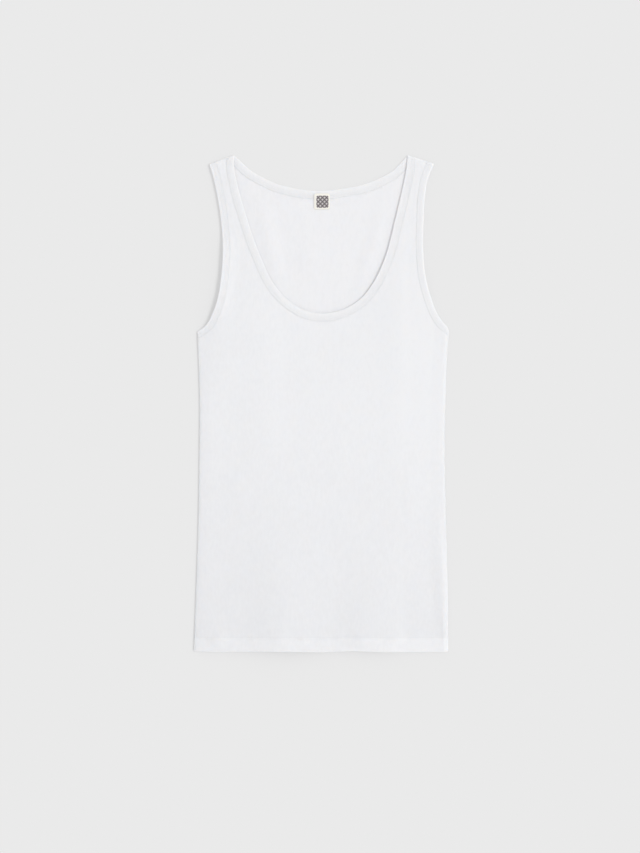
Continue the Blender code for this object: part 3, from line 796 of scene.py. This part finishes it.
def hem_puckers(x, y):
    """How far the gathers in the hem lift the cloth: most just below the stitching, dying out both ways."""
    height = y + LENGTH / 2
    along = np.exp(-((height - PUCKER_TOP) / np.where(height < PUCKER_TOP, *PUCKER_REACH)) ** 2)
    return sum(pucker.lift * np.exp(-((x - pucker.x) / pucker.reach) ** 2) * along for pucker in HEM_PUCKERS)


LEVELS[FRONT] = front_level
front_panel = knit_panel("front_panel_cloth", FRONT, FRONT_ROW, lambda x, y: np.zeros(x.shape, bool),
                         hem_puckers)
applied(front_panel, RIBS, {"Height": RIB_HEIGHT, "Seed": 8, "Cloth": COTTON})
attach(front_panel, "root")
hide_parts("front_panel")

# ------------------------ neck binding
# A strip of the same rib, cut across so that its ribs run square to the edge, folded round the raw edge of
# the neck and sewn down with a twin needle. It goes all the way round and is joined at the left shoulder.
BINDING_RIB = 0.0014
BINDING_RIB_HEIGHT = 0.00010
NEEDLE_ROWS = (0.0018, 0.0046)      # the twin needle's two rows, from the seam
NEEDLE_SINK = 0.00006               # they pull the face in this far
# half a strip's section from the seam towards the free edge: depth in from the seam, and how far it has sunk
Section = namedtuple("Section", "depth sunk")
SEAM_HALF = [Section(*row) for row in [
    (-0.0002, 0.00055), (0.0000, 0.00040), (0.0001, 0.00029), (0.0003, 0.00019), (0.0006, 0.00016),
    (0.0010, 0.00015), (0.0015, 0.00014), (0.0022, 0.00012), (0.0032, 0.00008), (0.0044, 0.00004),
    (0.0054, 0.00002),
]]
# the rest up to the free edge, depth measured from that edge
FREE_HALF = [Section(*row) for row in [
    (0.0026, 0.00002), (0.0016, 0.00005), (0.0009, 0.00011), (0.0005, 0.00020), (0.0002, 0.00036),
    (0.00006, 0.00056),
]]
BACK_SUNK = 1.5                     # inside the back, the half along the seam sinks this many times as far
BACK_SUNK_START = (0.0030, 0.0055)  # and comes to it between these depths from the free edge
JOIN = 0.0009                       # the ends of a strip are pinched over this length
PINCH = 0.00006
RIB_SINK = 0.0005                   # a rib fades out where the face has sunk this far
RIB_LEAST = 0.12


def round_edge(parts, depth):
    """Follows parts of a bound edge, one after the other: (edge, layer, whether it is followed backwards).

    Returns the length round, and a function from lengths to points of the free edge, directions and layers.
    """
    pieces, total = [], 0.0
    for edge, layer, backwards in parts:
        along = np.linspace(0.0, edge.length, 700)[::-1 if backwards else 1]
        plan = edge.inset(along, depth)
        z = face(plan[:, 0], plan[:, 1], DOUBLED, layer)
        arc = total + lengths_along(np.column_stack([plan, z]))
        pieces.append((edge, layer, arc, along))
        total = arc[-1]

    def read(lengths):
        starts, across, layers = (np.zeros((len(lengths), 2)) for _ in range(3))
        for edge, layer, arc, along in pieces:
            here = (lengths >= arc[0] - 1e-9) & (lengths <= arc[-1] + 1e-9)
            distance = np.interp(lengths[here], arc, along)
            starts[here], across[here], layers[here] = edge.at(distance), edge.across(distance), layer
        return starts, across, layers[:, 0]

    return total, read


def on_binding(read, lengths, depth, sunk, inside):
    """Points along a binding, at a depth in from its free edge, on its outer face or its inner one."""
    starts, across, layers = read(lengths)
    x, y = (starts + across * depth).T
    points = np.zeros((len(lengths), 3))
    for layer in (FRONT, BACK):
        here = layers == layer
        z = face(x[here], y[here], DOUBLED, layer)
        outer = np.column_stack([x[here], y[here], z])
        inner = wall(x[here], y[here], z, np.full(len(z), DOUBLED), layer)
        share = sunk / DOUBLED
        if inside and layer == BACK:
            share *= 1 + (BACK_SUNK - 1) * ramp(*BACK_SUNK_START, depth)
        points[here] = outer + (inner - outer) * (1 - share if inside else share)
    points[:, 2] = np.maximum(points[:, 2], RIB_HEIGHT)
    return points


def binding(name, parts, width):
    """A folded strip swept round an edge, closed where its two ends meet."""
    total, read = round_edge(parts, width / 2)
    ribs = round(total / BINDING_RIB)
    lengths = np.linspace(0.0, total, ribs * RIB_STEPS + 1)
    half = [(width - row.depth, row.sunk) for row in SEAM_HALF] + [(row.depth, row.sunk) for row in FREE_HALF]
    sections = [(*row, False) for row in half + [(0.0, DOUBLED / 2)]] + [(*row, True) for row in half[::-1]]
    end = ramp(0.0, JOIN, np.minimum(lengths, total - lengths))
    lines = []
    for depth, sunk, inside in sections:
        points = on_binding(read, lengths, depth, sunk, inside)
        pinched = on_binding(read, lengths, depth, min(sunk + PINCH, DOUBLED / 2), inside)
        lines.append(pinched + (points - pinched) * end[:, None])
    count, stations = len(lines), len(lengths)
    points = np.stack(lines, axis=1).reshape(-1, 3)
    ring = np.arange(count)
    faces = [list(ring[::-1]), list(ring + (stations - 1) * count)]
    for i in range(stations - 1):
        low, high = ring + i * count, ring + (i + 1) * count
        faces += np.column_stack([low, np.roll(low, -1), np.roll(high, -1), high]).tolist()
    depths, sunk = (np.array([row[i] for row in sections]) for i in (0, 1))
    raised = np.clip(1 - sunk / RIB_SINK, RIB_LEAST, 1.0)
    wale = np.repeat(np.arange(stations) / RIB_STEPS, count)
    fields = {"wale": wale, "course": np.tile(depths / COURSE, stations), "raise": np.tile(raised, stations)}
    return cloth_mesh(name, points, faces, fields)


TRIM = knit_material("bleached rib binding", (0.869, 0.872, 0.888), (0.789, 0.792, 0.808))
NECK_PARTS = [(NECKS[FRONT][LEFT], FRONT, True), (NECKS[FRONT][RIGHT], FRONT, False),
              (NECKS[BACK][RIGHT], BACK, True), (NECKS[BACK][LEFT], BACK, False)]
neck_binding = binding("neck_binding_strip", NECK_PARTS, NECK_BINDING)
applied(neck_binding, RIBS, {"Height": BINDING_RIB_HEIGHT, "Seed": 12, "Cloth": TRIM})
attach(neck_binding, "root")
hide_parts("neck_binding")

# ------------------------ armhole bindings
# Narrower strips of the same kind round the two armholes, from the underarm seam up the front, over the
# shoulder and down the back.
ARM_PARTS = {side: [(ARMS[FRONT][side], FRONT, False), (ARMS[BACK][side], BACK, True)]
             for side in (LEFT, RIGHT)}
for side, word in ((LEFT, "left"), (RIGHT, "right")):
    strip = binding(f"{word}_armhole_strip", ARM_PARTS[side], ARM_BINDING)
    applied(strip, RIBS, {"Height": BINDING_RIB_HEIGHT, "Seed": 20 + side, "Cloth": TRIM})
    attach(strip, "root")
    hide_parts(f"{word}_armhole_binding")

# ------------------------ stitching
# White polyester thread. A twin needle holds each folded binding with two rows of short stitches, and one row
# holds the hem. Every stitch is a piece of thread that dips into the knit at both ends.
STITCH_SPACING, STITCH_LENGTH, THREAD = 0.0029, 0.0025, 0.00030
STITCH_LIFT = 0.00006               # middle of a stitch above the cloth, before it bows up
NECK_CLEAR = 0.0016                 # the rows leave this much bare at their ends
ARM_CLEAR = 0.0050
HEM_CLEAR = 0.0040
FOLD_CLEAR = 0.0019                 # and to each side of a shoulder fold


def stitch_tree():
    """Puts one bent piece of thread at each step along a piece's lines, which carry the cloth's way up."""
    tree, nodes, given = geometry_tree("rows of stitches", {
        "Spacing": STITCH_SPACING, "Length": STITCH_LENGTH, "Thread": THREAD, "Unevenness": 0.10, "Seed": 5,
        "Yarn": None})
    length, thread = given["Length"], given["Thread"]
    start, bend, end = (nodes.add("ShaderNodeCombineXYZ", None, {0: length * x, 2: thread * z})
                        for x, z in ((-0.5, -0.45), (0.0, 0.75), (0.5, -0.45)))
    path = nodes.add("GeometryNodeCurveQuadraticBezier", None, {
        "Resolution": 4, "Start": start, "Middle": bend, "End": end})
    ring = nodes.add("GeometryNodeCurvePrimitiveCircle", None, {"Resolution": 5, "Radius": thread * 0.5})
    stitch = nodes.add("GeometryNodeCurveToMesh", None, {
        "Curve": path, "Profile Curve": ring, "Fill Caps": True})
    lines = nodes.add("GeometryNodeMeshToCurve", None, {"Mesh": given["Geometry"]})
    steps = nodes.add("GeometryNodeResampleCurve", {"mode": "LENGTH"}, {
        "Curve": lines, "Length": given["Spacing"]})
    along = nodes.add("FunctionNodeAlignRotationToVector", {"axis": "X"}, {
        "Vector": nodes.add("GeometryNodeInputTangent")})
    upright = nodes.add("FunctionNodeAlignRotationToVector", {"axis": "Z", "pivot_axis": "X"}, {
        "Rotation": along, "Vector": nodes.stored("up", "FLOAT_VECTOR")})
    size = nodes.add("FunctionNodeRandomValue", {"data_type": "FLOAT"}, {
        2: 1 - given["Unevenness"], 3: 1 + given["Unevenness"], "Seed": given["Seed"]}, 1)
    placed = nodes.add("GeometryNodeInstanceOnPoints", None, {
        "Points": steps, "Instance": stitch, "Rotation": upright, "Scale": size})
    end_tree(nodes, placed, given["Yarn"])
    return tree


def stitch_lines(name, lines):
    """A piece of bare lines for the tree above, given as (points, ways up)."""
    points = np.concatenate([line for line, _ in lines])
    ways = np.concatenate([up for _, up in lines])
    edges, first = [], 0
    for line, _ in lines:
        edges += [(i, i + 1) for i in range(first, first + len(line) - 1)]
        first += len(line)
    mesh = bpy.data.meshes.new(name)
    mesh.from_pydata(points.tolist(), edges, [])
    up = mesh.attributes.new("up", "FLOAT_VECTOR", "POINT")
    up.data.foreach_set("vector", ways.ravel().astype(np.float32))
    return linked(name, mesh)


def needle_lines(parts, width, row, clear, inside=False):
    """One row of the twin needle on the outer or inner face of a binding, broken at a shoulder fold.

    row is its distance from the seam. clear is left bare at both ends.
    """
    total, read = round_edge(parts, width / 2)
    lengths = np.linspace(clear, total - clear, round(total / 0.0010))
    sunk = np.interp(row, *zip(*SEAM_HALF))
    here, behind = (on_binding(read, lengths, width - row, sunk, way) for way in (inside, not inside))
    up = unit(here - behind)
    points = here + up * (STITCH_LIFT - NEEDLE_SINK)
    points[:, 2] = np.maximum(points[:, 2], THREAD)
    flat = from_shoulder(points[:, 0], points[:, 1]) > FOLD_CLEAR
    starts = np.flatnonzero(np.diff(flat.astype(int))) + 1
    runs = np.split(np.arange(len(points)), starts)
    return [(points[run], up[run]) for run in runs if flat[run[0]] and len(run) > 2]


def hem_line(piece, layer):
    """The row of stitches at the top of the hem, laid onto the outer face of a panel."""
    tree = BVHTree.FromObject(piece, bpy.context.evaluated_depsgraph_get())
    reach = side_reach(np.array([-1.0, 1.0]), np.full(2, HEM - LENGTH / 2))
    x = np.linspace(HEM_CLEAR - reach[0], reach[1] - HEM_CLEAR, 240)
    y = HEM_STITCHES + hem_edge(x, np.full(len(x), HEM_STITCHES)) - LENGTH / 2
    hits = [tree.ray_cast((px, py, 0.05 * layer), (0.0, 0.0, -layer)) for px, py in zip(x, y)]
    points = np.array([hit[0] for hit in hits])
    to_side = 4                     # the height is the mean over this many neighbours to each side
    count = 2 * to_side + 1
    smooth = np.convolve(np.pad(points[:, 2], to_side, mode="edge"), np.full(count, 1 / count), "valid")
    points[:, 2] = np.maximum(smooth + layer * STITCH_LIFT, THREAD)
    return points, np.tile([0.0, 0.0, float(layer)], (len(x), 1))


def thread_material(name, colour):
    """Twisted polyester thread, a little glossier than the cotton."""
    material, nodes, principled = shader(name, 0.5, 0.35)
    twist = nodes.add("ShaderNodeTexWave", {"bands_direction": "DIAGONAL"}, {
        "Vector": nodes.place(), "Scale": 1800.0})
    # painted shade: the grooves of the twist are a tenth darker than its crests
    shade = [value * 0.9 for value in colour]
    nodes.feed(principled, {
        "Base Color": nodes.mix(twist, shade, colour), "Normal": nodes.bump(0.5, 0.00004, twist)})
    return material


STITCHES = stitch_tree()
rows = [hem_line(front_panel, FRONT), hem_line(back_panel, BACK)]
for row in NEEDLE_ROWS:
    rows += needle_lines(NECK_PARTS, NECK_BINDING, row, NECK_CLEAR)
    rows += needle_lines(NECK_PARTS[2:], NECK_BINDING, row, NECK_CLEAR, inside=True)
    for side in (LEFT, RIGHT):
        rows += needle_lines(ARM_PARTS[side], ARM_BINDING, row, ARM_CLEAR)
stitching = stitch_lines("seam_stitches", rows)
applied(stitching, STITCHES, {"Seed": 5, "Yarn": thread_material("white thread", (0.95, 0.955, 0.965))})
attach(stitching, "root")

# ------------------------ neck label
# A small woven satin patch, sewn to the inside of the back over the lower edge of its binding. Its middle is
# a plain block of dark bird's-eye weave that stands for no maker.
LABEL_CENTRE = (0.0008, 0.5891)
BLOCK_CENTRE = (0.0015, 0.5887)
LABEL_HALF = 0.0105
LABEL_CORNER = 0.0030
LABEL_THICK = 0.0013
LABEL_EDGE = 0.0006                 # its edge is rounded over this width
LABEL_BLOCK = 0.0081                # half of the dark block, and the radius of its corners
BLOCK_CORNER = 0.0022
BLOCK_RISE = 0.00010                # it is woven thicker by this much
BLOCK_SLOPE = 0.0004                # over this width
BIRDS_EYE = 0.0054                  # from one pale eye of its weave to the next
LABEL_SEAM = 0.0011                 # the label's stitches, in from its edge
LABEL_GROOVE = 0.00022              # they pull it in this far
LABEL_GROOVE_REACH = 0.0004
LABEL_STITCH_LIFT = 0.00003         # middle of a stitch above the groove


def rounded_square(u, v, half, corner):
    """Points of a square grid from -1 to 1, drawn onto a square with round corners."""
    plan = np.stack([u * half, v * half], axis=-1)
    core = np.clip(plan, corner - half, half - corner)
    away = plan - core
    length = np.linalg.norm(away, axis=-1, keepdims=True)
    return core + away * np.abs(away).max(-1, keepdims=True) / np.maximum(length, 1e-9)


def under_label(y):
    """Top of the cloth under the label: the panel, and from its middle up the thicker binding."""
    return CLOTH + 2 * RIB_HEIGHT + (DOUBLED - CLOTH) * ramp(0.5905, 0.5940, y + LENGTH / 2)


def label_patch(name):
    steps = np.array([0.0, 0.02, 0.045, 0.075, 0.105, 0.135, 0.17, 0.22, 0.30, 0.40, 0.5])
    steps = np.concatenate([steps, 1 - steps[-2::-1]]) * 2 - 1
    u, v = np.meshgrid(steps, steps)
    plan = rounded_square(u, v, LABEL_HALF, LABEL_CORNER)
    x, y = plan[..., 0] + LABEL_CENTRE[0], plan[..., 1] + LABEL_CENTRE[1] - LENGTH / 2
    inward = (1 - np.maximum(np.abs(u), np.abs(v))) * LABEL_HALF
    level = LABEL_THICK * (0.55 + 0.45 * np.sqrt(1 - (1 - np.clip(inward / LABEL_EDGE, 0, 1)) ** 2))
    level -= LABEL_GROOVE * np.exp(-((inward - LABEL_SEAM) / LABEL_GROOVE_REACH) ** 2)
    block_edge = LABEL_HALF - LABEL_BLOCK
    level += BLOCK_RISE * ramp(block_edge - BLOCK_SLOPE, block_edge, inward)
    below = under_label(y)
    count = len(steps)
    underside = 0.00005
    points = np.concatenate([np.stack([x, y, below + up], -1).reshape(-1, 3) for up in (level, underside)])
    top = np.arange(count * count).reshape(count, count)
    faces = []
    for r in range(count - 1):
        for c in range(count - 1):
            cell = [top[r, c], top[r, c + 1], top[r + 1, c + 1], top[r + 1, c]]
            faces += [cell, [i + count * count for i in cell[::-1]]]
    rim = [*top[0, :-1], *top[:-1, -1], *top[-1, :0:-1], *top[:0:-1, 0]]
    for low, high in zip(rim, rim[1:] + rim[:1]):
        faces.append([high, low, low + count * count, high + count * count])
    mesh = bpy.data.meshes.new(name)
    mesh.from_pydata(points.tolist(), [], [[int(i) for i in cell] for cell in faces])
    mesh.shade_smooth()
    return linked(name, mesh)


def satin_material(name):
    """Cream satin with a dark block of bird's-eye weave in its middle."""
    material, nodes, principled = shader(name, 0.38, 0.5)
    place = nodes.place()
    middle = (-BLOCK_CENTRE[0], LENGTH / 2 - BLOCK_CENTRE[1], 0.0)
    centred = nodes.add("ShaderNodeVectorMath", {"operation": "ADD"}, {0: place, 1: middle})
    x = nodes.add("ShaderNodeSeparateXYZ", None, {0: centred})
    y = x.output(1)
    past_x, past_y = ((abs(way) - (LABEL_BLOCK - BLOCK_CORNER)).math("MAXIMUM", 0.0) for way in (x, y))
    away = (past_x * past_x + past_y * past_y).math("SQRT")
    block = ((BLOCK_CORNER - away) * 4000.0).clamped()
    one_way, other_way = ((way * (np.pi / BIRDS_EYE)).math("SINE") for way in (x + y, x - y))
    pale = ((abs(one_way * other_way) - 0.40) * 3.0).clamped()
    warp, weft = (abs((way * (np.pi / pitch)).math("SINE")) for way, pitch in ((x, 0.00030), (y, 0.00024)))
    uneven = nodes.noise(place, 700.0)
    dark = nodes.mix(pale * (0.55 + uneven * 0.5), (0.150, 0.130, 0.135), (0.72, 0.69, 0.68))
    # painted highlight and shade: the cream is lighter on the crest of each warp thread and darker between,
    # with a random tone on top
    cream = nodes.mix(0.4 * warp + 0.6 * uneven, (0.90, 0.87, 0.79), (0.95, 0.925, 0.86))
    relief = warp * 0.5 + weft * 0.3 + block * 0.8 * pale
    nodes.feed(principled, {
        "Base Color": nodes.mix(block, cream, dark), "Normal": nodes.bump(0.6, 0.00006, relief),
        "Roughness": 0.36 + block * 0.34})
    return material


label = label_patch("neck_label_patch")
label.data.materials.append(satin_material("cream label satin"))
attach(label, "root")
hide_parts("neck_label")

turn_round = np.linspace(0.0, 2 * np.pi, 161)
cosine, sine = np.cos(turn_round), np.sin(turn_round)
square = 1 / np.maximum(np.abs(cosine), np.abs(sine))
seam = rounded_square(cosine * square, sine * square, LABEL_HALF - LABEL_SEAM, LABEL_CORNER - LABEL_SEAM)
seam = seam + [LABEL_CENTRE[0], LABEL_CENTRE[1] - LENGTH / 2]
seam_level = under_label(seam[:, 1]) + LABEL_THICK - LABEL_GROOVE + LABEL_STITCH_LIFT
seam = np.column_stack([seam, seam_level])
label_stitching = stitch_lines("label_stitches", [(seam, np.tile([0.0, 0.0, 1.0], (len(seam), 1)))])
applied(label_stitching, STITCHES, {"Spacing": 0.0019, "Length": 0.0016, "Thread": 0.00022, "Seed": 9,
                                    "Yarn": thread_material("cream thread", (0.88, 0.85, 0.78))})
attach(label_stitching, "root")

# ------------------------ table, light, view
# The table is a plain pale sheet that glows a little: painted light that lightens the shadows cast on it. A
# big soft lamp stands to the right and the white room fills in the rest.
bpy.ops.mesh.primitive_plane_add(size=6.0, location=(0.0, 0.0, 0.0))
table = bpy.context.object
table.name = "table"
surface, nodes, principled = shader("matt pale table that glows", 1.0, 0.0)
grain = nodes.mix(nodes.noise(nodes.place(), 900.0), (0.554, 0.554, 0.554), (0.560, 0.560, 0.560))
# painted light: the glow fills in the shadows on the table
nodes.feed(principled, {
    "Emission Color": (1.0, 1.0, 1.0, 1.0), "Emission Strength": 0.25, "Base Color": grain})
table.data.materials.append(surface)

LAMP_AZIMUTH, LAMP_ELEVATION = np.radians(8.0), np.radians(50.0)
lamp_data = bpy.data.lights.new("lamp", "SUN")
lamp_data.energy = 0.9494
lamp_data.angle = np.radians(18.0)
lamp = linked("lamp", lamp_data)
lamp.rotation_euler = (0.0, np.pi / 2 - LAMP_ELEVATION, LAMP_AZIMUTH)

room = bpy.data.worlds.new("room")
room.use_nodes = True
background = room.node_tree.nodes["Background"]
background.inputs["Color"].default_value = (1.0, 1.0, 1.0, 1.0)
background.inputs["Strength"].default_value = 0.7975
bpy.context.scene.world = room
bpy.context.scene.view_settings.view_transform = "Standard"

PICTURE_HEIGHT = 1.1174             # of the table, in view
AIM = (-0.0017, -0.0305)            # the point of the table in the middle of the picture
DISTANCE = 3.2
SENSOR = 36.0                       # in millimetres, as is the lens
camera_data = bpy.data.cameras.new("camera")
camera_data.sensor_width = SENSOR
camera_data.lens = SENSOR * DISTANCE / PICTURE_HEIGHT
camera = linked("camera", camera_data)
camera.location = (*AIM, DISTANCE)
bpy.context.scene.camera = camera
